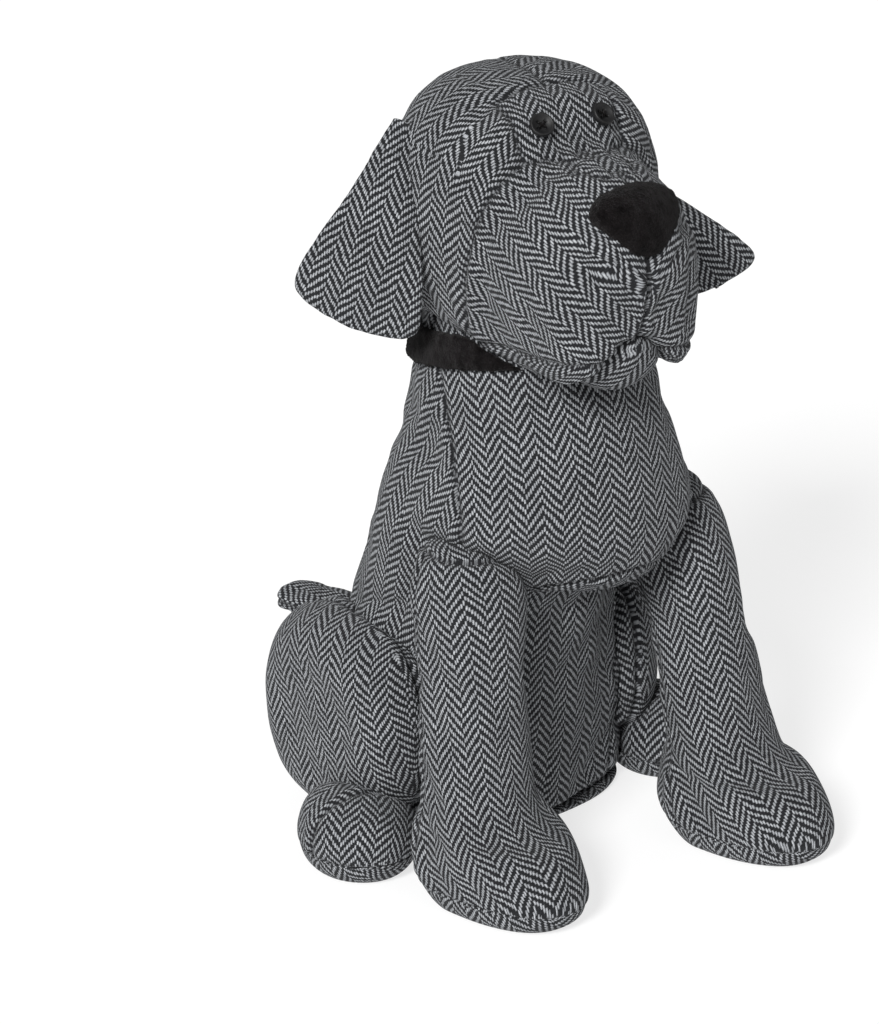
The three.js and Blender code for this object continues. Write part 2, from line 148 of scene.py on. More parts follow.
def loft(rings, spacing=4.0, around=None, place=None):
    """Points, faces and front or back half (1 or 2) of a closed loft of quads about `spacing` across."""
    fine = smooth_rings(rings, spacing)
    girth = max(math.pi * (one[6] + one[7] + one[8] + one[9]) / 2 for one in fine)
    around = around or max(12, 4 * round(girth / spacing / 4))
    loops, points = [], []

    def add_loop(array):
        loops.append(list(range(len(points), len(points) + len(array))))
        points.extend(array)

    def add_cap(one, inwards):
        widest = max(one[6:])
        steps = max(2, round(widest / spacing))
        shares = [step / steps for step in range(1, steps)]
        for share in shares if not inwards else reversed(shares):
            add_loop(ring_points(one, around, share))

    if not is_pole(fine[0]):
        add_loop([[fine[0][1], fine[0][2], fine[0][0]]])
        add_cap(fine[0], False)
    for one in fine:
        add_loop([[one[1], one[2], one[0]]] if is_pole(one) else ring_points(one, around))
    if not is_pole(fine[-1]):
        add_cap(fine[-1], True)
        add_loop([[fine[-1][1], fine[-1][2], fine[-1][0]]])
    faces, halves = zip(*bands(loops, around))
    points = np.array(points, float)
    return (place(points) if place else points), faces, halves


def bmesh_of(*parts):
    """One bmesh in metres, its faces turned outwards."""
    bm = bmesh.new()
    for points, faces, halves in parts:
        vertices = [bm.verts.new(point * MM) for point in points]
        for face, half in zip(faces, halves):
            bm.faces.new([vertices[i] for i in face]).material_index = half
    bmesh.ops.recalc_face_normals(bm, faces=bm.faces)
    return bm


def object_of(name, bm):
    mesh = bpy.data.meshes.new(name)
    bm.to_mesh(mesh)
    bm.free()
    made = bpy.data.objects.new(name, mesh)
    bpy.context.scene.collection.objects.link(made)
    return made


def apply_modifiers(piece):
    graph = bpy.context.evaluated_depsgraph_get()
    mesh = bpy.data.meshes.new_from_object(piece.evaluated_get(graph))
    old = piece.data
    piece.modifiers.clear()
    piece.data = mesh
    bpy.data.meshes.remove(old)


def remesh(bm, voxel, smooth):
    piece = object_of("remeshed", bm)
    modifier = piece.modifiers.new("voxels", "REMESH")
    modifier.mode = "VOXEL"
    modifier.voxel_size = voxel * MM
    soften = piece.modifiers.new("soften", "SMOOTH")
    soften.factor = 0.5
    soften.iterations = smooth
    apply_modifiers(piece)
    made = bmesh.new()
    made.from_mesh(piece.data)
    mesh = piece.data
    bpy.data.objects.remove(piece)
    bpy.data.meshes.remove(mesh)
    return made


# Panels and flat cloth


def groups_of(items, beside):
    """The groups of items that hang together, each as a list."""
    seen, groups = set(), []
    for start in items:
        if start in seen:
            continue
        seen.add(start)
        group, queue = [], [start]
        while queue:
            item = queue.pop()
            group.append(item)
            for other in beside(item):
                if other not in seen:
                    seen.add(other)
                    queue.append(other)
        groups.append(group)
    return groups


def cut(bm, plane):
    geometry = [*bm.verts, *bm.edges, *bm.faces]
    bmesh.ops.bisect_plane(bm, geom=geometry, dist=0.3 * MM, plane_co=plane.point * MM, plane_no=plane.normal)


def flatten(piece, grain_of, bowl):
    """Unwraps each panel to flat cloth in millimetres, with the warp along the panel's grain."""
    mesh = piece.data
    mesh.uv_layers.new(name="cloth")
    bpy.context.view_layer.objects.active = piece
    piece.select_set(True)
    bpy.ops.object.mode_set(mode="EDIT")
    bpy.ops.mesh.select_all(action="SELECT")
    bpy.ops.uv.unwrap(method="ANGLE_BASED", margin=0.01)
    bpy.ops.object.mode_set(mode="OBJECT")
    piece.select_set(False)
    bm = bmesh.new()
    bm.from_mesh(mesh)
    layer = bm.loops.layers.uv["cloth"]

    def beside(face):
        return [other for edge in face.edges if not edge.seam for other in edge.link_faces]

    for panel in groups_of(bm.faces, beside):
        lay_panel(panel, layer, grain_of, bowl)
    bm.to_mesh(mesh)
    bm.free()


def lay_panel(panel, layer, grain_of, bowl):
    """Settles a panel to its true lengths and turns it so that the warp runs along the grain.

    A shallow bowl of a panel starts from its view along its mean normal, others from the unwrap.
    """
    index, corners, solid, flat = {}, [], [], []
    for face in panel:
        for loop in face.loops:
            if loop.vert.index not in index:
                index[loop.vert.index] = len(index)
                solid.append(loop.vert.co / MM)
                flat.append(loop[layer].uv.copy())
        corners.append([index[vert.index] for vert in face.verts])
    solid, flat = np.array(solid), np.array(flat)
    areas = [face.calc_area() / MM**2 for face in panel]
    if bowl:
        facing = sum((face.normal * area for face, area in zip(panel, areas)), Vector()).normalized()
        across = facing.orthogonal().normalized()
        flat = solid @ np.array([across, facing.cross(across)]).T
    flat *= math.sqrt(sum(areas) / flat_area(flat, corners))
    flat = relax(flat, solid, corners)
    grain, offset = grain_of(panel[0].material_index)
    flat = turned_to_grain(flat, solid, corners, np.array(Vector(grain).normalized()))
    flat += np.array(offset) - flat.mean(0)
    for face, corner in zip(panel, corners):
        for loop, i in zip(face.loops, corner):
            loop[layer].uv = flat[i]


def turned_to_grain(flat, solid, corners, grain):
    a, b, c = np.array([corner[:3] for corner in corners]).T
    e1, e2 = solid[b] - solid[a], solid[c] - solid[a]
    d1, d2 = flat[b] - flat[a], flat[c] - flat[a]
    normal = np.cross(e1, e2)
    size = np.maximum(np.linalg.norm(normal, axis=1, keepdims=True), 1e-9)
    normal /= size
    along = grain - normal * (normal @ grain)[:, None]
    share1 = np.einsum("ij,ij->i", np.cross(along, e2), normal)[:, None] / size
    share2 = np.einsum("ij,ij->i", np.cross(e1, along), normal)[:, None] / size
    aim = ((share1 * d1 + share2 * d2) * size).sum(0)
    turn = math.pi / 2 - math.atan2(aim[1], aim[0])
    return flat @ np.array([[math.cos(turn), math.sin(turn)], [-math.sin(turn), math.cos(turn)]])


def flat_area(flat, corners):
    total = 0.0
    for corner in corners:
        x, y = flat[corner].T
        total += abs(np.dot(x, np.roll(y, -1)) - np.dot(y, np.roll(x, -1))) / 2
    return max(total, 1e-12)


ROUNDS = 500
MOST_PULL = 0.12  # of a thread's length in one round
OVERSHOOT = 1.2
FEW_FOLDS = 0.03  # of a panel's triangles
SAME_POINT = 0.05


def relax(flat, solid, corners):
    """Lets the flat cloth settle until its threads have the lengths that they have on the form.

    Where it lies folded over afterwards, it is spread out there and settles again, which is kept if it helps.
    """
    pairs = {tuple(sorted((a, b))) for corner in corners for a in corner for b in corner if a != b}
    a, b = np.array(sorted(pairs)).T
    rest = np.linalg.norm(solid[a] - solid[b], axis=1)
    triangles = np.array([(corner[0], *pair) for corner in corners for pair in zip(corner[1:], corner[2:])])
    settle(flat, a, b, rest, ROUNDS)
    for _ in range(2):
        over = folded(flat, triangles)
        if not over.any():
            break
        trial = flat.copy()
        spread(trial, a, b, triangles[over].ravel())
        settle(trial, a, b, rest, ROUNDS // 2)
        if folded(trial, triangles).sum() >= over.sum():
            break
        flat = trial
    # a few small folds that are left are smoothed away, but a panel that folds widely keeps its lengths
    for _ in range(4):
        over = folded(flat, triangles)
        if over.any() and over.mean() < FEW_FOLDS:
            spread(flat, a, b, triangles[over].ravel(), 1, 6)
    return flat


def settle(flat, a, b, rest, rounds):
    """Moves the ends of each thread, a and b, towards its length at rest."""
    count = len(flat)
    share = 1.0 / np.bincount(np.concatenate([a, b]), minlength=count)
    for _ in range(rounds):
        apart = flat[b] - flat[a]
        length = np.maximum(np.linalg.norm(apart, axis=1), 1e-9)
        pull = apart * (0.5 * np.clip((length - rest) / length, -MOST_PULL, MOST_PULL))[:, None]
        for axis in (0, 1):
            push = np.bincount(a, pull[:, axis], count) - np.bincount(b, pull[:, axis], count)
            flat[:, axis] += OVERSHOOT * push * share


def folded(flat, triangles):
    p, q, r = flat[triangles.T]
    facing = (q - p)[:, 0] * (r - p)[:, 1] - (q - p)[:, 1] * (r - p)[:, 0]
    return facing * facing.sum() < 0


def spread(flat, a, b, points, reach=2, rounds=20):
    """Lays the cloth evenly around the given points."""
    count = len(flat)
    share = 1.0 / np.bincount(np.concatenate([a, b]), minlength=count)
    loose = np.zeros(count, bool)
    loose[points] = True
    for _ in range(reach):
        near = loose[a] | loose[b]
        loose[a[near]] = loose[b[near]] = True
    for _ in range(rounds):
        for axis in (0, 1):
            total = np.bincount(a, flat[b, axis], count) + np.bincount(b, flat[a, axis], count)
            flat[loose, axis] = (total * share)[loose]


def panelled(name, bm, cuts, label, grain_of, levels=2, puff=2.5, bowl=False):
    """A sewn piece: cut along its seam planes, labelled, flattened, filled and made smooth."""
    for plane in cuts:
        cut(bm, plane)
    bmesh.ops.remove_doubles(bm, verts=bm.verts, dist=SAME_POINT * MM)
    bmesh.ops.dissolve_degenerate(bm, edges=bm.edges, dist=SAME_POINT * MM)
    for face in bm.faces:
        face.material_index = label(face.calc_center_median() / MM, face.material_index)
    for edge in bm.edges:
        if len(edge.link_faces) == 2:
            edge.seam = edge.link_faces[0].material_index != edge.link_faces[1].material_index
    piece = object_of(name, bm)
    flatten(piece, grain_of, bowl)
    if puff:
        fill_cloth(piece, puff)
    seams = seam_points(piece.data)
    for face in piece.data.polygons:
        face.material_index = 0
    smooth = piece.modifiers.new("smooth", "SUBSURF")
    smooth.levels = levels
    smooth.uv_smooth = "PRESERVE_BOUNDARIES"
    apply_modifiers(piece)
    return piece, seams


CLOTH_FRAMES = 16


def fill_cloth(piece, cap):
    """Blows the panels out between their seams as filling does, by `cap` millimetres at most."""
    mesh = piece.data
    rest, normals = vertex_array(mesh), vertex_array(mesh, "normal")
    held = piece.vertex_groups.new(name="held")
    held.add(sorted({i for edge in mesh.edges if edge.use_seam for i in edge.vertices}), 1.0, "REPLACE")
    modifier = piece.modifiers.new("cloth", "CLOTH")
    settings = modifier.settings
    settings.vertex_group_mass = "held"
    settings.use_pressure = True
    settings.uniform_pressure_force = 4.0
    settings.effector_weights.gravity = 0.0
    settings.shrink_min = -0.03
    settings.quality = 4
    modifier.point_cache.frame_end = CLOTH_FRAMES
    scene = bpy.context.scene
    for frame_number in range(1, CLOTH_FRAMES + 1):
        scene.frame_set(frame_number)
    graph = bpy.context.evaluated_depsgraph_get()
    blown = vertex_array(piece.evaluated_get(graph).data)
    piece.modifiers.clear()
    piece.vertex_groups.clear()
    scene.frame_set(1)
    moved = blown - rest
    moved -= normals * np.einsum("ij,ij->i", moved, normals).mean()
    length = np.linalg.norm(moved, axis=1, keepdims=True)
    moved *= np.minimum(1.0, cap * MM / np.maximum(length, 1e-9))
    mesh.vertices.foreach_set("co", (rest + moved).ravel())
    mesh.update()


def seam_points(mesh, spacing=0.7):
    """Points along the seam edges, in millimetres."""
    points = []
    for edge in mesh.edges:
        if edge.use_seam:
            a, b = (mesh.vertices[i].co / MM for i in edge.vertices)
            steps = max(1, math.ceil((b - a).length / spacing))
            points += [a.lerp(b, i / steps) for i in range(steps)]
    return points


# Sewn and stuffed relief

SEAM_DEPTH, SEAM_WIDTH = 0.9, 1.1
SEAM_WELT, WELT_FROM_SEAM, WELT_WIDTH = 0.35, 3.2, 1.8
PUCKER, PUCKER_REACH = 0.35, 6.0
TUCK_DEPTH, TUCK_REACH, TUCK_SEARCH = 1.3, 2.6, 9.0
FAR_FROM_SEAMS = 30.0


def vertex_array(mesh, field="co"):
    values = np.empty(len(mesh.vertices) * 3)
    mesh.vertices.foreach_get(field, values)
    return values.reshape(-1, 3)


def relief(piece, seams, waves, seed, sewn_to=()):
    """Valleys at the seams with small puckers beside them, and soft uneven filling between."""
    mesh = piece.data
    tree = KDTree(len(seams)) if seams else None
    if tree:
        for i, point in enumerate(seams):
            tree.insert(point, i)
        tree.balance()
    carriers = [surface_of(carrier) for carrier in sewn_to]
    points, normals = vertex_array(mesh) / MM, vertex_array(mesh, "normal")
    pushes, distances = np.zeros(len(points)), np.full(len(points), FAR_FROM_SEAMS)
    for i, p in enumerate(map(Vector, points)):
        broad = noise.noise(p * 0.03 + Vector((seed, 0, 0)))
        fine = noise.noise(p * 0.085 + Vector((0, seed, 0)))
        push = waves * (1.5 * broad + 0.5 * fine)
        if tree:
            near, _, distance = tree.find(p)
            push -= SEAM_DEPTH * math.exp(-((distance / SEAM_WIDTH) ** 2))
            push += SEAM_WELT * math.exp(-(((distance - WELT_FROM_SEAM) / WELT_WIDTH) ** 2))
            pucker = noise.noise(near * 0.24 + Vector((0, 0, seed)))
            push += PUCKER * pucker * math.exp(-distance / PUCKER_REACH)
            distances[i] = distance
        for carrier in carriers:
            near = carrier.find_nearest(p * MM, TUCK_SEARCH * MM)
            if near[0] is not None:
                distance = near[3] / MM
                pucker = noise.noise(p * 0.3 + Vector((seed, seed, 0)))
                push -= (TUCK_DEPTH - 0.5 * pucker) * math.exp(-((distance / TUCK_REACH) ** 2))
                distances[i] = min(distances[i], distance + 0.4)
        pushes[i] = push
    mesh.vertices.foreach_set("co", ((points + normals * pushes[:, None]) * MM).ravel())
    # the distance to the nearest seam or tuck is kept for the cloth's painted seam shade
    attribute = mesh.attributes.new("seam", "FLOAT", "POINT")
    attribute.data.foreach_set("value", distances)
    mesh.update()


surfaces = {}


def surface_of(piece):
    """The nearest-point tree of a finished piece, made once."""
    if piece.name not in surfaces:
        mesh = piece.data
        corners = [tuple(face.vertices) for face in mesh.polygons]
        surfaces[piece.name] = BVHTree.FromPolygons([v.co.copy() for v in mesh.vertices], corners)
    return surfaces[piece.name]


SEWN_GAP = 0.3


def sew(piece, *carriers):
    """Trims a piece by what it is sewn to, a little clear of it, and drops the offcuts."""
    for carrier in carriers:
        grown = carrier.copy()
        grown.data = carrier.data.copy()
        bpy.context.scene.collection.objects.link(grown)
        mesh = grown.data
        swollen = vertex_array(mesh) + vertex_array(mesh, "normal") * SEWN_GAP * MM
        mesh.vertices.foreach_set("co", swollen.ravel())
        modifier = piece.modifiers.new("seam", "BOOLEAN")
        modifier.operation = "DIFFERENCE"
        modifier.solver = "MANIFOLD"
        modifier.object = grown
        apply_modifiers(piece)
        bpy.data.objects.remove(grown)
        bpy.data.meshes.remove(mesh)
    bm = bmesh.new()
    bm.from_mesh(piece.data)
    bodies = groups_of(bm.verts, lambda vertex: [edge.other_vert(vertex) for edge in vertex.link_edges])
    for offcut in sorted(bodies, key=len, reverse=True)[1:]:
        bmesh.ops.delete(bm, geom=offcut, context="VERTS")
    bm.to_mesh(piece.data)
    bm.free()


# Node helpers


class Nodes:
    """Short names for building a material's node tree."""

    def __init__(self, name):
        self.material = bpy.data.materials.new(name)
        self.material.use_nodes = True
        self.tree = self.material.node_tree
        self.tree.nodes.clear()
        self.output = self.tree.nodes.new("ShaderNodeOutputMaterial")
        self.shader = self.tree.nodes.new("ShaderNodeBsdfPrincipled")
        self.link(self.shader.outputs[0], self.output.inputs["Surface"])

    def link(self, source, socket):
        self.tree.links.new(source, socket)

    def put(self, value, socket):
        if isinstance(value, bpy.types.NodeSocket):
            self.link(value, socket)
        else:
            socket.default_value = value

    def math(self, operation, a, b=0.0, c=0.0, clamp=False):
        node = self.tree.nodes.new("ShaderNodeMath")
        node.operation = operation
        node.use_clamp = clamp
        for socket, value in zip(node.inputs, (a, b, c)):
            self.put(value, socket)
        return node.outputs[0]

    def mix(self, share, a, b):
        node = self.tree.nodes.new("ShaderNodeMix")
        node.data_type = "RGBA"
        self.put(share, node.inputs["Factor"])
        self.put(a, node.inputs[6])
        self.put(b, node.inputs[7])
        return node.outputs[2]

    def noise(self, vector, scale, detail=2.0, roughness=0.5):
        node = self.tree.nodes.new("ShaderNodeTexNoise")
        self.put(vector, node.inputs["Vector"])
        node.inputs["Scale"].default_value = scale
        node.inputs["Detail"].default_value = detail
        node.inputs["Roughness"].default_value = roughness
        return node.outputs[0]

    def white(self, vector):
        node = self.tree.nodes.new("ShaderNodeTexWhiteNoise")
        self.put(vector, node.inputs["Vector"])
        return node.outputs["Value"]

    def combine(self, x, y, z=0.0):
        node = self.tree.nodes.new("ShaderNodeCombineXYZ")
        for socket, value in zip(node.inputs, (x, y, z)):
            self.put(value, socket)
        return node.outputs[0]

    def separate(self, vector):
        node = self.tree.nodes.new("ShaderNodeSeparateXYZ")
        self.link(vector, node.inputs[0])
        return node.outputs

    def position(self):
        return self.tree.nodes.new("ShaderNodeTexCoord").outputs["Object"]

    def cloth(self):
        node = self.tree.nodes.new("ShaderNodeUVMap")
        node.uv_map = "cloth"
        return node.outputs[0]

    def attribute(self, name):
        node = self.tree.nodes.new("ShaderNodeAttribute")
        node.attribute_name = name
        return node.outputs["Fac"]

    def bump(self, height, distance, strength=1.0):
        node = self.tree.nodes.new("ShaderNodeBump")
        self.put(height, node.inputs["Height"])
        node.inputs["Distance"].default_value = distance
        node.inputs["Strength"].default_value = strength
        self.link(node.outputs[0], self.shader.inputs["Normal"])

    def set(self, **values):
        for name, value in values.items():
            self.put(value, self.shader.inputs[name.replace("_", " ").title().replace("Ior", "IOR")])


# Materials

END_WIDTH, PICK_HEIGHT, ENDS_PER_STRIPE = 0.74, 0.86, 8
WANDER_SCALE, WANDER = 0.12, 1.6
WAVER_SCALE, END_WAVER, PICK_WAVER = 1.1, 0.34, 0.5
YARN_RELIEF, FUZZ = 0.00035, 0.4
# yarn colours: the dim end is a yarn's own dim tone and its flank in painted shade, the pale end its pale
# tone on a crown in painted light
WARP_PALE_AND_LIT = (0.53, 0.548, 0.57, 1)
WARP_DIM_AND_SHADED = (0.2, 0.208, 0.222, 1)
WEFT_DIM_AND_SHADED = (0.006, 0.0063, 0.0072, 1)
WEFT_PALE_AND_LIT = (0.034, 0.036, 0.041, 1)
# painted shade in the gaps between yarns, also used for the painted shade along seams
SHADE_BETWEEN_YARNS = (0.014, 0.0144, 0.0158, 1)


def tweed():
    """A 2/2 herringbone: light warp ends over dark picks, the twill turning every eight ends."""
    n = Nodes("tweed")
    operations = ("ADD", "SUBTRACT", "MULTIPLY", "DIVIDE", "FLOOR")
    add, take, times, share, floor = (partial(n.math, operation) for operation in operations)
    flat = n.cloth()
    u, v, _ = n.separate(flat)

    def centred(value, size):
        return times(take(value, 0.5), size)

    # the yarns wander slowly over the cloth, and waver a little from knot to knot
    u = add(u, centred(n.noise(flat, WANDER_SCALE, 1.0), WANDER))
    v = add(v, centred(n.noise(n.combine(v, u, 7.0), WANDER_SCALE, 1.0), WANDER))
    u = add(u, centred(n.noise(flat, WAVER_SCALE, 1.0), END_WAVER))
    v = add(v, centred(n.noise(n.combine(v, u, 3.0), WAVER_SCALE, 1.0), PICK_WAVER))
    x, y = share(u, END_WIDTH), share(v, PICK_HEIGHT)
    end = floor(x)
    y = add(y, centred(n.white(n.combine(end, 1.0)), 0.5))
    pick = floor(y)
    fx, fy = take(x, end), take(y, pick)
    stripe = floor(share(add(end, 0.5), ENDS_PER_STRIPE))
    odd = n.math("FLOORED_MODULO", stripe, 2.0)
    lean = take(1.0, times(odd, 2.0))
    raw = add(add(take(pick, times(lean, end)), times(odd, 3.0)), 0.25)
    phase = floor(n.math("FLOORED_MODULO", raw, 4.0))
    float_number = floor(share(raw, 4.0))
    warp_up = n.math("LESS_THAN", phase, 1.5)
    # how far along its float a yarn is, from 0 to 1
    warp_along = times(add(phase, fy), 0.5)
    forward = take(3.0, phase)
    backward = take(phase, 2.0)
    even = take(1.0, odd)
    weft_along = times(add(add(times(forward, even), times(backward, odd)), fx), 0.5)

    def dome(along, power):
        return n.math("POWER", n.math("SINE", times(along, math.pi), clamp=True), power)

    warp_height = times(dome(fx, 0.8), dome(warp_along, 0.5))
    weft_height = times(times(dome(fy, 0.8), dome(weft_along, 0.5)), 0.7)
    height = add(times(warp_height, warp_up), times(weft_height, take(1.0, warp_up)))
    dash = n.white(n.combine(end, float_number, 5.0))
    heather = n.noise(flat, 2.6, 2.0, 0.7)
    patch = n.noise(flat, 0.045, 2.0)
    tone = add(times(dash, 0.45), centred(heather, 1.5))
    tone = add(tone, add(centred(patch, 0.7), 0.33), clamp=True)
    # each yarn's colour follows its random tone times its height, so its crown is painted lighter and its
    # flanks are painted in shade
    warp = n.mix(times(tone, warp_height), WARP_DIM_AND_SHADED, WARP_PALE_AND_LIT)
    weft = n.mix(times(tone, weft_height), WEFT_DIM_AND_SHADED, WEFT_PALE_AND_LIT)
    # the gaps between yarns are painted near-black as shade
    colour = n.mix(n.math("POWER", height, 0.5), SHADE_BETWEEN_YARNS, n.mix(warp_up, weft, warp))
    # within 1.5 mm of a seam or a tuck against another piece, the cloth is painted darker as painted shade in
    # the seam's valley
    clear_of_seam_shade = share(n.attribute("seam"), 1.5, clamp=True)
    colour = n.mix(times(take(1.0, clear_of_seam_shade), 0.7), colour, SHADE_BETWEEN_YARNS)
    n.set(base_color=colour, roughness=0.95, sheen_weight=0.05, sheen_roughness=0.5, specular_ior_level=0.12)
    fuzz = n.noise(flat, 5.0, 2.0, 0.8)
    n.bump(add(height, times(fuzz, FUZZ)), YARN_RELIEF)
    return n.material


# the plush's near-black root colour is painted shade between the fibres, its tip colour painted light caught
# on the pile
PILE_SHADED_ROOT = (0.0015, 0.0012, 0.0012, 1)
PILE_LIT_TIP = (0.03, 0.026, 0.027, 1)
BUTTON_DARK = (0.004, 0.004, 0.0045, 1)
BUTTON_LIGHT = (0.012, 0.012, 0.0125, 1)
CALICO_DARK = (0.42, 0.37, 0.27, 1)
CALICO_LIGHT = (0.55, 0.49, 0.38, 1)


def plush():
    n = Nodes("black_plush")
    place = n.position()
    pile = n.noise(place, 2200.0, 3.0, 0.7)
    lay = n.noise(place, 260.0, 3.0, 0.6)
    # specks toward the tip colour, in patches set by how the pile lies, are painted highlights and sheen on
    # the pile
    tone = n.math("MULTIPLY", n.math("POWER", pile, 2.5), n.math("ADD", n.math("MULTIPLY", lay, 4.0), -1.0))
    colour = n.mix(n.math("MAXIMUM", tone, 0.0, clamp=True), PILE_SHADED_ROOT, PILE_LIT_TIP)
    n.set(base_color=colour, roughness=1.0, sheen_weight=0.06, sheen_roughness=0.3, specular_ior_level=0.05)
    n.bump(n.math("ADD", pile, lay), 0.0008)
    return n.material


def button_black():
    n = Nodes("button_plastic")
    place = n.position()
    cloud = n.noise(place, 700.0, 3.0)
    n.set(base_color=n.mix(cloud, BUTTON_DARK, BUTTON_LIGHT), specular_ior_level=0.3)
    n.set(roughness=n.math("ADD", 0.4, n.math("MULTIPLY", cloud, 0.2)))
    n.bump(n.noise(place, 1600.0, 2.0), 0.00004, 0.6)
    return n.material


def calico():
    n = Nodes("calico")
    x, y, z = n.separate(n.position())
    across = n.math("SINE", n.math("MULTIPLY", n.math("ADD", x, y), 9000.0))
    up = n.math("SINE", n.math("MULTIPLY", z, 9000.0))
    weave = n.math("MULTIPLY", across, up)
    cloud = n.noise(n.position(), 60.0, 3.0)
    n.set(base_color=n.mix(cloud, CALICO_DARK, CALICO_LIGHT), roughness=0.95)
    n.bump(weave, 0.0002, 0.8)
    return n.material


TWEED, PLUSH, BUTTON, CALICO = tweed(), plush(), button_black(), calico()


def dress(piece, node, material):
    piece.data.materials.clear()
    piece.data.materials.append(material)
    piece.data.shade_smooth()
    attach(piece, "root")
    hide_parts(node)


def one_grain(direction, offset=(0, 0)):
    """The grain rule of a piece whose panels are all cut along one direction."""
    return lambda panel: (direction, offset)


def by_side(plane):
    """The label rule of a piece with one panel on each side of a plane."""
    return lambda p, half: 1 if plane.side(p) > 0 else 2


def finish_sewn(piece, node, seams, waves, seed, carriers=()):
    relief(piece, seams, waves, seed, carriers)
    if carriers:
        sew(piece, *carriers)
    dress(piece, node, TWEED)
    return piece


# The dog's measures

BASE_THICKNESS = 3.0
SEAM_GAP = 0.3
HEAD_HEIGHT = 235.5
NECK_HEIGHT, NECK_RADIUS, NECK_FORWARD = HEAD_HEIGHT - 29.5, 35.5, 35.0
SEAT_HALF_WIDTH, SEAT_HALF_DEPTH = 57.0, 45.0
CHEST_BOTTOM, CHEST_HEIGHT, CHEST_FORWARD = 98.0, 129.0, 45.0
CHEST_HALF_WIDTH, CHEST_HALF_DEPTH = 54.0, 46.0
SOLE_HEIGHT = 9.0
UP = (0, 0, 1)


def trunk_rings():
    return [
        ring(BASE_THICKNESS + SEAM_GAP, SEAT_HALF_WIDTH, SEAT_HALF_DEPTH, square=2.8),
        ring(34, 59, SEAT_HALF_DEPTH, y=-1, square=2.6),
        ring(82, 52, y=-14, front=39, back=46),
        ring(128, 53, y=-26, front=40, back=35),
        ring(NECK_HEIGHT, NECK_RADIUS, NECK_RADIUS, y=-NECK_FORWARD),
    ]


def chest_rings():
    def hang(height, x, y, wide, deep):
        at = CHEST_BOTTOM + (CHEST_HEIGHT - CHEST_BOTTOM) * height
        return ring(at, CHEST_HALF_WIDTH * wide, CHEST_HALF_DEPTH * deep, x=x, y=-CHEST_FORWARD - y)

    return [
        hang(0, 4, 6, 0, 0),
        hang(0.11, 4, 5, 0.37, 0.56),
        hang(0.33, 4, 3, 0.58, 0.82),
        hang(0.6, 3, 1, 0.78, 0.95),
        hang(1, 0, 0, 1, 1),
        hang(2, 0, -4, 0.87, 0.93),
        ring(NECK_HEIGHT * 0.995, NECK_RADIUS * 0.985, NECK_RADIUS * 0.985, y=-NECK_FORWARD),
    ]


class Plane:
    """A seam plane: a point on it and its normal, in millimetres."""

    def __init__(self, point, normal):
        self.point, self.normal = Vector(point), Vector(normal).normalized()

    def side(self, p):
        return (p - self.point).dot(self.normal)

    def mirrored(self):
        flip = Vector((-1, 1, 1))
        return Plane(self.point * flip, self.normal * flip)


FRONT_SEAM = Plane((47.1, -48.1, 152.8), (0.897, 0.442, -0.021))
CHEST_SEAM = Plane((0, -57, 103), (0, 0.27, 0.96))
BACK_SEAM = Plane((0, 0, 0), (1, 0, 0))
SEAT_SEAM = Plane((0, 0, BASE_THICKNESS + 1.2), UP)
NECK_SEAM = Plane((0, 0, NECK_HEIGHT - 4), UP)
SIDE_SEAM = Plane((0, -NECK_FORWARD + 10, 0), (0, 1, 0))


def make_torso():
    bm = remesh(bmesh_of(loft(trunk_rings()), loft(chest_rings())), 4.5, 3)
    # the front panels, one over the chest and one over the belly, run between two side seams
    planes = [FRONT_SEAM, FRONT_SEAM.mirrored(), CHEST_SEAM, BACK_SEAM, SEAT_SEAM, NECK_SEAM, SIDE_SEAM]

    def label(p, half):
        if SEAT_SEAM.side(p) < 0:
            return 0
        if NECK_SEAM.side(p) > 0:
            return 5
        if SIDE_SEAM.side(p) < 0 and FRONT_SEAM.side(p) < 0 and FRONT_SEAM.mirrored().side(p) < 0:
            return 1 if CHEST_SEAM.side(p) > 0 else 2
        return 3 if p.x < 0 else 4

    def grain(panel):
        if panel in (1, 2):
            return UP, (1.5, 0.0)
        if panel in (3, 4):
            return (0.0, -0.3, 0.95), (1.0, 0.0)
        return (0, 1, 0), (0, 0)

    # made unit length once more, because a last digit decides which points snap to a seam
    cuts = [Plane(plane.point, plane.normal) for plane in planes]
    piece, seams = panelled("torso", bm, cuts, label, grain)
    return finish_sewn(piece, "torso", seams, 0.8, 1.0)


def make_base():
    rings = [
        ring(0, SEAT_HALF_WIDTH - 1.5, SEAT_HALF_DEPTH - 1.5, square=2.8),
        ring(BASE_THICKNESS, SEAT_HALF_WIDTH, SEAT_HALF_DEPTH, square=2.8),
    ]

    def label(p, half):
        return 1 if p.z > BASE_THICKNESS / 2 else 2

    piece, _ = panelled("base_panel", bmesh_of(loft(rings, 4.0)), [], label, one_grain((0, 1, 0)), 1, 0)
    relief(piece, [], 0.05, 4.0)
    flatten_bottom(piece)
    dress(piece, "base_panel", TWEED)


BAG_HALF_WIDTH, BAG_HALF_DEPTH, BAG_HEIGHT = 46.6, 35.6, 90.0


def make_bag():
    def level(height, y, wide, deep, square=2.6):
        at = BASE_THICKNESS + 2 * SEAM_GAP + BAG_HEIGHT * height
        return ring(at, BAG_HALF_WIDTH * wide, BAG_HALF_DEPTH * deep, y=y, square=square)

    rings = [
        level(0, 0, 0.9, 0.88),
        level(0.3, -2, 1, 1),
        level(0.75, -7, 0.86, 0.8, 2.3),
        level(0.99, -8, 0, 0, 2),
    ]
    bm = bmesh_of(loft(rings, 5.0))
    piece, _ = panelled("ballast_bag", bm, [], lambda p, half: half, one_grain(UP), 1, 0)
    relief(piece, [], 0.0, 6.0)
    dress(piece, "ballast_bag", CALICO)


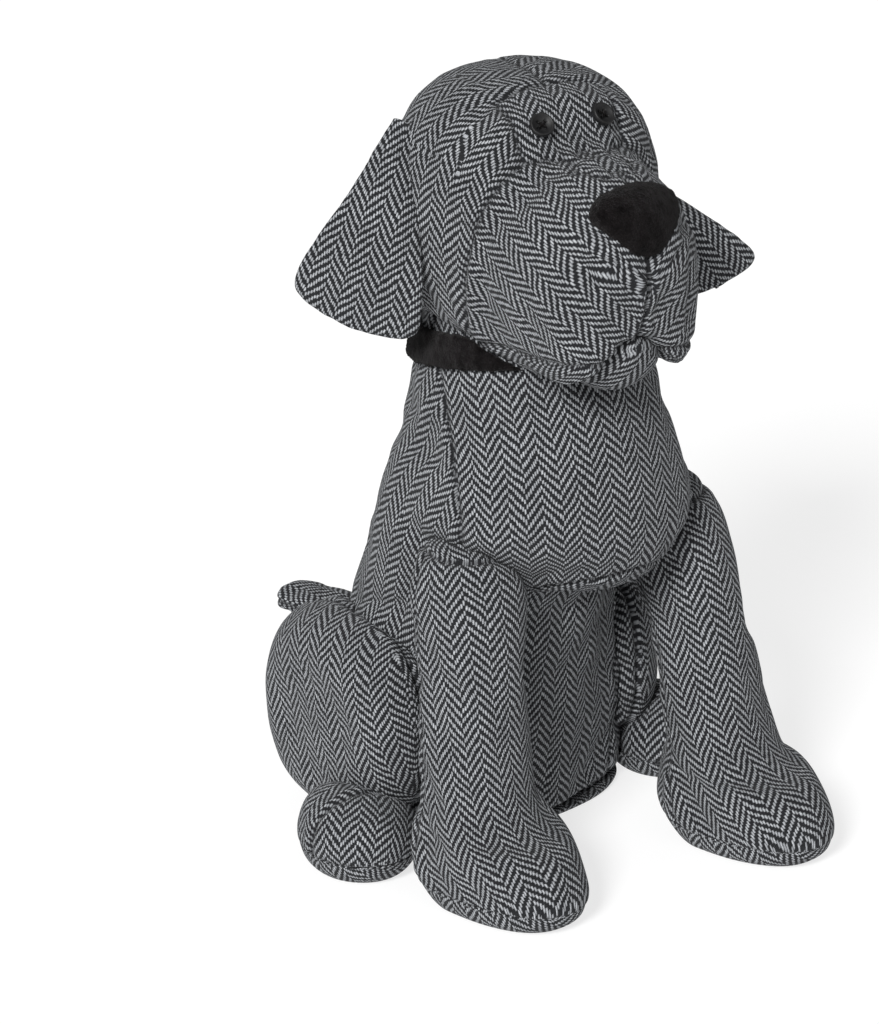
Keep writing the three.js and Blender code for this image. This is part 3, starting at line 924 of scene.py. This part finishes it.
RIGHT_LEG = {"top": (-41, -53), "foot": (-54, -70), "turn": 4, "bow": 0, "side": -1}
LEFT_LEG = {"top": (50.5, -56), "foot": (46.5, -88), "turn": 6, "bow": 3, "side": 1}
LEG_RADIUS, LEG_TOP_HEIGHT, LEG_CAP_ABOVE = 18.7, 116.0, 6.0
PAW_HALF_WIDTH, PAW_REACH, PAW_HEEL, PAW_HEIGHT = 23.5, 48.0, 21.0, 34.0


def leg_rings(leg):
    (top_x, top_y), (foot_x, foot_y) = leg["top"], leg["foot"]

    def lean(height):
        t = 1 - (height - PAW_HEIGHT) / (LEG_TOP_HEIGHT - PAW_HEIGHT)
        return {"x": top_x + (foot_x - top_x) * t, "y": top_y + (foot_y - top_y) * t}

    foot = {"x": foot_x, "y": foot_y}
    sole = {"x": foot_x, "y": foot_y - PAW_REACH * 0.12}
    middle = (LEG_TOP_HEIGHT + PAW_HEIGHT) / 2
    bowed = {"x": lean(middle)["x"] + leg["bow"], "y": lean(middle)["y"]}
    ankle = PAW_HEIGHT * 1.15
    w, r, h = PAW_HALF_WIDTH, PAW_REACH, PAW_HEEL
    return [
        ring(0, w * 0.78, front=r * 0.72, back=h * 0.55, square=2.2, **sole),
        ring(SOLE_HEIGHT * 0.45, w * 0.94, front=r * 0.85, back=h * 0.8, square=2.2, **sole),
        ring(PAW_HEIGHT * 0.42, w, front=r, back=h * 0.95, square=2.2, **foot),
        ring(PAW_HEIGHT * 0.8, w * 0.94, front=r * 0.84, back=h, square=2.1, **foot),
        ring(ankle, LEG_RADIUS + 0.5, front=LEG_RADIUS + 4, back=LEG_RADIUS, **lean(ankle)),
        ring(middle, LEG_RADIUS, LEG_RADIUS, **bowed),
        ring(LEG_TOP_HEIGHT, LEG_RADIUS, LEG_RADIUS, **lean(LEG_TOP_HEIGHT)),
        ring(LEG_TOP_HEIGHT + LEG_RADIUS * 0.85, **lean(LEG_TOP_HEIGHT + LEG_RADIUS * 0.85)),
    ]


def keep_side(bm, height, above):
    """Cuts a bmesh at a height, keeps one side and closes it."""
    geometry = [*bm.verts, *bm.edges, *bm.faces]
    cut_made = bmesh.ops.bisect_plane(
        bm,
        geom=geometry,
        dist=0.01 * MM,
        plane_co=(0, 0, height * MM),
        plane_no=(0, 0, 1),
        clear_outer=not above,
        clear_inner=above,
    )
    edges = [item for item in cut_made["geom_cut"] if isinstance(item, bmesh.types.BMEdge)]
    rim = bmesh.ops.contextual_create(bm, geom=edges)["faces"]
    inner = bmesh.ops.inset_region(bm, faces=rim, thickness=0.4 * MM)
    bmesh.ops.recalc_face_normals(bm, faces=bm.faces)
    crease = bm.edges.layers.float.new("crease_edge")
    for edge in edges:
        if edge.is_valid:
            edge[crease] = 0.9
    return inner


def sole_of(name, rings, spacing, place, carriers):
    """The flat patch under a paw, cut from the same form as the paw."""
    bm = bmesh_of(loft(rings, spacing, place=place))
    keep_side(bm, SOLE_HEIGHT, False)

    def label(p, half):
        return 0 if p.z > SOLE_HEIGHT - 0.2 else 1

    piece, _ = panelled(name, bm, [], label, one_grain((1, 0.1, 0)), 2, 0)
    relief(piece, [], 0.12, len(name))
    flatten_bottom(piece)
    sew(piece, *carriers)
    dress(piece, name, TWEED)


def above_sole(seams):
    return [point for point in seams if point.z > SOLE_HEIGHT + 1]


def make_front_leg(side_name, leg, carriers):
    (foot_x, foot_y), (top_x, top_y), side = leg["foot"], leg["top"], leg["side"]
    turn = math.radians(leg["turn"])
    spin = np.array([[math.cos(turn), -math.sin(turn)], [math.sin(turn), math.cos(turn)]])

    def place(points):
        points = points.copy()
        points[:, :2] = (points[:, :2] - (foot_x, foot_y)) @ spin.T + (foot_x, foot_y)
        return points

    bm = bmesh_of(loft(leg_rings(leg), 3.6, place=place))
    keep_side(bm, SOLE_HEIGHT + SEAM_GAP / 2, True)
    # a front and a back panel, whose seams run down both sides of the leg
    foot, top = Vector((foot_x, foot_y, 20)), Vector((top_x, top_y, LEG_TOP_HEIGHT))
    facing = (top - foot).cross(Vector((1, 0.12 * side, 0))).normalized()
    facing *= math.copysign(1, facing.y)
    panels = Plane(foot + facing * 5, facing)
    cap = Plane((0, 0, LEG_TOP_HEIGHT + LEG_CAP_ABOVE), UP)

    def label(p, half):
        if p.z < SOLE_HEIGHT + SEAM_GAP:
            return 0
        if cap.side(p) > 0:
            return 3
        return 1 if panels.side(p) < 0 else 2

    def grain(panel):
        return (UP if panel else (0, 1, 0)), (3.1, 0)

    name = f"front_leg_{side_name}"
    piece, seams = panelled(name, bm, [panels, cap], label, grain)
    finish_sewn(piece, name, above_sole(seams), 0.5, foot_x * 0.1, carriers)
    sole_of(f"front_sole_{side_name}", leg_rings(leg), 4.2, place, carriers)


def flatten_bottom(piece):
    points = vertex_array(piece.data)
    points[:, 2] = np.maximum(points[:, 2], 0)
    piece.data.vertices.foreach_set("co", points.ravel())
    piece.data.update()


THIGH_OUTSIDE, THIGH_HALF_LENGTH, THIGH_HALF_HEIGHT, THIGH_CENTRE_HEIGHT = 74.0, 37.5, 38.0, 45.0


def make_thigh(side_name, side, carriers):
    def at(share, size):
        reach = {"side": THIGH_HALF_LENGTH * size, "depth": THIGH_HALF_HEIGHT * size}
        return ring(side * THIGH_OUTSIDE * share, **reach, y=THIGH_CENTRE_HEIGHT, square=2.5)

    rings = [at(0.27, 0.8), at(0.65, 1), at(0.825, 0.95), at(0.945, 0.68), at(1, 0)]
    bm = bmesh_of(loft(rings, 3.4, place=lambda points: points[:, [2, 0, 1]]))
    edge = Plane((side * 51, 0, 0), (side, 0, 0))
    gusset = Plane((0, 0, THIGH_CENTRE_HEIGHT), (0, -1, 1))

    def label(p, half):
        if edge.side(p) > 0:
            return 1
        return 2 if gusset.side(p) > 0 else 3

    name = f"thigh_{side_name}"
    grain = one_grain((0, 0.28, 0.96), (2.0, 0))
    piece, seams = panelled(name, bm, [edge, gusset], label, grain, bowl=True)
    return finish_sewn(piece, name, seams, 0.9, side * 3.0, carriers)


HIND_PAW_HEIGHT, HIND_PAW_HALF_WIDTH, HIND_PAW_HALF_LENGTH = 31.0, 20.5, 23.0


def make_hind_paw(side_name, x, y, carriers):
    def level(height, share, back=0):
        reach = {"side": HIND_PAW_HALF_WIDTH * share, "depth": HIND_PAW_HALF_LENGTH * share}
        return ring(HIND_PAW_HEIGHT * height, **reach, x=x, y=y + back)

    rings = [level(0, 0.72), level(0.14, 0.92), level(0.45, 1), level(0.8, 0.76, 1), level(1, 0, 2)]
    bm = bmesh_of(loft(rings, 2.8))
    keep_side(bm, SOLE_HEIGHT + SEAM_GAP / 2, True)
    middle = Plane((x, y - 4, 0), (0.3, 1, 0))

    def label(p, half):
        if p.z < SOLE_HEIGHT + SEAM_GAP:
            return 0
        return 1 if middle.side(p) > 0 else 2

    name = f"hind_paw_{side_name}"
    piece, seams = panelled(name, bm, [middle], label, one_grain((0.5, 0.3, 0.8)))
    finish_sewn(piece, name, above_sole(seams), 0.5, x * 0.1, carriers)
    sole_of(f"hind_sole_{side_name}", rings, 2.6, None, carriers)


TAIL_LENGTH, TAIL_HALF_WIDTH, TAIL_HALF_HEIGHT, TAIL_AT_HEIGHT, TAIL_ASIDE = 94.0, 9.5, 6.5, 49.0, 10.0


def make_tail(carriers):
    def along(share, size):
        reach = {"side": TAIL_HALF_WIDTH * size, "depth": TAIL_HALF_HEIGHT * size}
        return ring(TAIL_LENGTH * share, **reach, x=-TAIL_ASIDE * share**2, y=TAIL_AT_HEIGHT)

    rings = [along(0.25, 1), along(0.6, 1.05), along(0.9, 0.95), along(0.97, 0.66), along(1, 0)]
    bm = bmesh_of(loft(rings, 2.0, place=lambda points: points[:, [0, 2, 1]]))
    edge = Plane((0, 0, TAIL_AT_HEIGHT), UP)

    piece, seams = panelled("tail", bm, [edge], by_side(edge), one_grain((0, 1, 0)), 2, 1.0, True)
    finish_sewn(piece, "tail", seams, 0.3, 8.0, carriers)


# Head, in its own frame: X is its left, -Y is forward and the origin is the middle of the skull

HEAD_YAW, HEAD_ASIDE = 9.0, 2.0
HEAD_PLACE = Matrix.Translation((-HEAD_ASIDE, -NECK_FORWARD + 1, HEAD_HEIGHT)) @ Matrix.Rotation(
    math.radians(-HEAD_YAW), 4, "Z"
)
HEAD_BACK = HEAD_PLACE.inverted()
SKULL_HALF_WIDTH, SKULL_BACK, CROWN_HEIGHT, SKULL_BELOW = 47.0, 48.0, 48.0, 50.0
BROW_FORWARD, MUZZLE_FORWARD, MUZZLE_HALF_WIDTH = 25.0, 77.0, 27.0
BRIDGE_HEIGHT, MOUTH_DEPTH, JOWL_DROP = 27.0, 28.0, 50.0


def in_head(points):
    turned = points[:, [0, 2, 1]] * (1, -1, 1)
    matrix = np.array(HEAD_PLACE)
    return turned @ matrix[:3, :3].T + matrix[:3, 3]


def head_direction(x, forward, z):
    return HEAD_PLACE.to_3x3() @ Vector((x, -forward, z))


def head_rings():
    def skull(at, share, **extra):
        reach = {"back": CROWN_HEIGHT * share, "front": SKULL_BELOW * share, "square": 2.4, **extra}
        return ring(at, SKULL_HALF_WIDTH * share, **reach)

    def muzzle(at, wide, top, mouth, lobes, taper):
        return ring(
            at,
            MUZZLE_HALF_WIDTH * wide,
            back=BRIDGE_HEIGHT * top,
            front=MOUTH_DEPTH * mouth,
            lobes=(JOWL_DROP - MOUTH_DEPTH) * lobes,
            taper=taper,
            square=2.3,
        )

    return [
        skull(-SKULL_BACK, 0),
        skull(-SKULL_BACK * 0.84, 0.6, front=SKULL_BELOW * 0.76),
        skull(-SKULL_BACK * 0.42, 0.94, front=SKULL_BELOW * 0.98),
        skull(0, 1, lobes=1),
        skull(BROW_FORWARD * 0.64, 0.93, front=SKULL_BELOW, lobes=2),
        skull(BROW_FORWARD, 0.85, back=CROWN_HEIGHT * 0.87, front=SKULL_BELOW, lobes=4),
        muzzle(BROW_FORWARD * 1.4, 1.24, 1.09, 1.74, 0.25, 0.1),
        muzzle(MUZZLE_FORWARD * 0.66, 1.14, 1.04, 1.45, 0.5, 0.2),
        muzzle(MUZZLE_FORWARD * 0.82, 1.02, 0.96, 1.12, 0.75, 0.28),
        muzzle(MUZZLE_FORWARD * 0.94, 0.8, 0.66, 0.98, 0.6, 0.26),
        muzzle(MUZZLE_FORWARD, 0.46, 0.3, 0.66, 0.1, 0.1),
        ring(MUZZLE_FORWARD * 1.026, y=-BRIDGE_HEIGHT * 0.22),
    ]


def head_plane(point, normal):
    """A seam plane given in the head's frame: to its left, forward and up."""
    (x, forward, z), (nx, nf, nz) = point, normal
    return Plane((x, -forward, z), (nx, -nf, nz))


BROW_SEAM = head_plane((0, 13.5, 43.6), (0, 0.96, 0.27))
MASK_SEAM = head_plane((14, 43.7, 26.3), (0.15, 0.07, 0.98))
TEMPLE_SEAM = head_plane((20.8, 0, 0), (1, 0, 0))
MUZZLE_SEAM = head_plane((0, 27.2, -2.3), (0, 0.98, -0.2))
CENTRE_SEAM = head_plane((0, 0, 0), (1, 0, 0))
JAW_SEAM = head_plane((0, 0, -42), (0, -0.1, 1))


def make_head(carriers):
    bm = bmesh_of(loft(head_rings(), 3.9, place=in_head))
    planes = [BROW_SEAM, MASK_SEAM, MASK_SEAM.mirrored(), TEMPLE_SEAM, TEMPLE_SEAM.mirrored()]
    planes += [MUZZLE_SEAM, CENTRE_SEAM, JAW_SEAM]
    cuts = [Plane(HEAD_PLACE @ plane.point, HEAD_PLACE.to_3x3() @ plane.normal) for plane in planes]

    def label(p, half):
        local = HEAD_BACK @ p
        mask = Vector((abs(local.x), local.y, local.z))
        if BROW_SEAM.side(local) > 0 and MASK_SEAM.side(mask) > 0 and TEMPLE_SEAM.side(mask) < 0:
            return 5
        if JAW_SEAM.side(local) < 0:
            return 6
        if MUZZLE_SEAM.side(local) > 0:
            return 3 if local.x > 0 else 4
        return 1 if local.x > 0 else 2

    def grain(panel):
        if panel in (3, 4):
            side = 1 if panel == 3 else -1
            return head_direction(side * 0.1, 0.93, -0.4), (2.0, 0)
        if panel == 5:
            return head_direction(0, 0.8, -0.6), (3.1, 0)
        return (0, 0, 1), (3.1, 0)

    piece, seams = panelled("head", bm, cuts, label, grain)
    return finish_sewn(piece, "head", seams, 0.8, 5.0, carriers)


CHIN_HALF_WIDTH, CHIN_HALF_DEPTH, CHIN_DROP = 19.0, 18.0, 52.0


def make_chin(carriers):
    def at(forward, wide, deep, drop):
        reach = {"side": CHIN_HALF_WIDTH * wide, "depth": CHIN_HALF_DEPTH * deep}
        return ring(MUZZLE_FORWARD * forward, **reach, y=-CHIN_DROP * drop)

    rings = [at(0.4, 0.8, 0.78, 0.58), at(0.66, 1, 1, 0.635)]
    rings += [at(0.84, 0.86, 0.83, 0.635), at(0.93, 0, 0, 0.615)]
    bm = bmesh_of(loft(rings, 2.6, place=in_head))
    fold = Plane(HEAD_PLACE @ Vector((0, -30, -32)), HEAD_PLACE.to_3x3() @ Vector((0, 0.6, 0.8)))

    grain = one_grain(head_direction(0.3, 0.2, 0.9))
    piece, _ = panelled("chin", bm, [fold], by_side(fold), grain, 2, 0, True)
    finish_sewn(piece, "chin", [], 0.3, 2.0, carriers)


EARS = {
    "ear_right": {"root": (-42, 8, 27), "front": (-50, -12, -38.5), "back": (-83.5, 18, -23), "curl": -5},
    "ear_left": {"root": (45, 2, -2), "front": (50, -14, -42), "back": (87, -18, -31), "curl": 4},
}


def make_ear(name, carriers):
    spec = EARS[name]
    top, near, far = (Vector(spec[key]) for key in ("root", "front", "back"))
    down = (near + far) / 2 - top
    length, half_width = down.length, (far - near).length / 2
    down.normalize()
    across = (far - near).normalized()
    through = down.cross(across).normalized()

    def along(share, wide, thick=1.0):
        return ring(length * share, half_width * wide, 3.5 * thick, y=4 * spec["curl"] * share * (1 - share))

    rings = [
        along(-0.08, 0.3, 0.8),
        along(0, 0.36),
        along(0.35, 0.58),
        along(0.7, 0.88),
        along(0.93, 1),
        along(1.01, 0.88, 0.95),
        along(1.045, 0.66, 0.9),
        along(1.06, 0.34, 0.8),
        along(1.065, 0),
    ]
    axes = np.array([across, through, down])
    matrix = np.array(HEAD_PLACE)

    def place(points):
        local = points @ axes + np.array(top)
        return local @ matrix[:3, :3].T + matrix[:3, 3]

    bm = bmesh_of(loft(rings, 2.6, place=place))

    grain = one_grain(HEAD_PLACE.to_3x3() @ down)
    piece, seams = panelled(name, bm, [], lambda p, half: half, grain, 2, 0, True)
    finish_sewn(piece, name, seams, 0.5, length * 0.1, carriers)


def pile_piece(name, voxel, tufts):
    """Black plush over a node's solid, its facets smoothed away and its pile stood up in tufts."""
    bm = bmesh.new()
    bm.from_mesh(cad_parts[name].data)
    piece = object_of(f"{name}_plush", remesh(bm, voxel, 4))
    smooth = piece.modifiers.new("smooth", "SUBSURF")
    smooth.levels = 1
    apply_modifiers(piece)
    mesh = piece.data
    points, normals = vertex_array(mesh) / MM, vertex_array(mesh, "normal")
    for i, p in enumerate(map(Vector, points)):
        lay = noise.noise(p * 0.35)
        tuft = noise.noise(p * 1.3 + Vector((lay, 0, lay)))
        points[i] += normals[i] * tufts * (0.5 * lay + 0.6 * abs(tuft) + 0.25 * noise.noise(p * 3.1))
    mesh.vertices.foreach_set("co", (points * MM).ravel())
    mesh.update()
    dress(piece, name, PLUSH)


BUTTON_RADIUS, BUTTON_THICKNESS, BUTTON_RIM = 4.3, 2.4, 0.9
HOLE_SPACING, HOLE_RADIUS = 1.9, 0.5
EYE_SPACING, EYE_FORWARD, EYE_HEIGHT = 24.0, 29.2, 36.3
THREAD_REACH = 1.75
THREAD_SHAPE = ((-1.75, 0), (-1.6, 0.3), (-0.8, 0.42), (0, 0.45), (0.8, 0.42), (1.6, 0.3), (1.75, 0))


def disc(bm, profile, around, centre=(0.0, 0.0)):
    """A turned form from (radius, height) pairs in millimetres, closed where the radius is nothing."""
    loops = []
    for radius, height in profile:
        loop = []
        for step in range(around if radius else 1):
            t = 2 * math.pi * step / around
            point = (centre[0] + radius * math.cos(t), centre[1] + radius * math.sin(t), height)
            loop.append(bm.verts.new(Vector(point) * MM))
        loops.append(loop)
    for corners, _ in bands(loops, around):
        bm.faces.new(corners)


def make_eye(name, side):
    """A dished button with a round rim, sewn down through four holes by two crossed threads."""
    thick, rim = BUTTON_THICKNESS, BUTTON_RIM
    profile = [(0, 0.3), (BUTTON_RADIUS * 0.8, 0.3)]
    for step in range(9):
        t = math.radians(-90 + 180 * step / 8)
        profile.append((BUTTON_RADIUS - 0.5 + 0.5 * math.cos(t), thick * 0.55 + thick * 0.42 * math.sin(t)))
    profile += [(BUTTON_RADIUS - rim, thick * 0.9), (BUTTON_RADIUS - rim * 1.6, thick * 0.6)]
    profile += [(BUTTON_RADIUS * 0.3, thick * 0.5), (0, thick * 0.5)]
    bm = bmesh.new()
    disc(bm, profile, 48)
    bmesh.ops.recalc_face_normals(bm, faces=bm.faces)
    piece = object_of(f"{name}_button", bm)
    drills = bmesh.new()
    off = HOLE_SPACING / 2
    for x, y in ((off, off), (off, -off), (-off, off), (-off, -off)):
        disc(drills, [(0, -1), (HOLE_RADIUS, -1), (HOLE_RADIUS, 4), (0, 4)], 16, (x, y))
    bmesh.ops.recalc_face_normals(drills, faces=drills.faces)
    drill = object_of("drill", drills)
    modifier = piece.modifiers.new("holes", "BOOLEAN")
    modifier.solver = "EXACT"
    modifier.object = drill
    apply_modifiers(piece)
    bpy.data.objects.remove(drill)
    thread = bmesh.new()
    for direction in (1, -1):
        rings = [ring(at, radius) for at, radius in THREAD_SHAPE]
        for one in rings:
            one[2] = thick * 0.72 - 0.3 * (one[0] / THREAD_REACH) ** 2 + 0.2 * (direction > 0)
            one[8:10] = one[6:8]
        turn = math.radians(45 * direction)

        def place_thread(points):
            x, y, z = points[:, 2], points[:, 0], points[:, 1]
            c, s = math.cos(turn), math.sin(turn)
            return np.stack([x * c - y * s, x * s + y * c, z], 1)

        points, faces, _ = loft(rings, 0.3, 10, place_thread)
        vertices = [thread.verts.new(point * MM) for point in points]
        for face in faces:
            thread.faces.new([vertices[i] for i in face])
    bmesh.ops.recalc_face_normals(thread, faces=thread.faces)
    threads = object_of(f"{name}_thread", thread)
    lean = Matrix.Rotation(math.radians(side * 14), 4, "Z") @ Matrix.Rotation(math.radians(50), 4, "X")
    place = HEAD_PLACE @ Matrix.Translation((side * EYE_SPACING / 2, -EYE_FORWARD, EYE_HEIGHT))
    for one in (piece, threads):
        one.matrix_world = Matrix.Translation(place.translation * MM) @ (place.to_3x3().to_4x4() @ lean)
    dress(piece, name, BUTTON)
    dress(threads, name, PLUSH)


def make_scene():
    add_camera()
    torso = make_torso()
    make_base()
    make_bag()
    for side_name, leg in (("right", RIGHT_LEG), ("left", LEFT_LEG)):
        make_front_leg(side_name, leg, [torso])
    for side_name, side, x, y in (("right", -1, -72, -27), ("left", 1, 69, -32)):
        thigh = make_thigh(side_name, side, [torso])
        make_hind_paw(side_name, x, y, [thigh, torso])
    make_tail([torso])
    head = make_head([torso])
    make_chin([head, torso])
    for name in EARS:
        make_ear(name, [head, torso])
    pile_piece("collar", 1.2, 0.5)
    pile_piece("nose", 0.8, 0.7)
    make_eye("eye_right", -1)
    make_eye("eye_left", 1)


def sun(name, towards, strength, spread):
    data = bpy.data.lights.new(name, "SUN")
    data.energy = strength
    data.angle = math.radians(spread)
    lamp = bpy.data.objects.new(name, data)
    lamp.rotation_euler = Vector(towards).to_track_quat("Z", "Y").to_euler()
    bpy.context.scene.collection.objects.link(lamp)


def add_studio():
    bm = bmesh.new()
    bmesh.ops.create_grid(bm, x_segments=2, y_segments=2, size=6.0)
    floor = object_of("floor", bm)
    n = Nodes("floor_paper")
    n.set(base_color=(0.3, 0.3, 0.3, 1), roughness=0.95, emission_color=(1, 1, 1, 1), emission_strength=0.72)
    floor.data.materials.append(n.material)
    world = bpy.data.worlds.new("studio")
    bpy.context.scene.world = world
    world.use_nodes = True
    world.node_tree.nodes["Background"].inputs[0].default_value = (1, 1, 1, 1)
    world.node_tree.nodes["Background"].inputs[1].default_value = 0.34
    sun("key", (-0.75, -0.39, 0.57), 3.7, 16)
    sun("front", (-0.3, -0.9, 0.5), 0.3, 60)
    bpy.context.scene.view_settings.view_transform = "Standard"


make_scene()
add_studio()
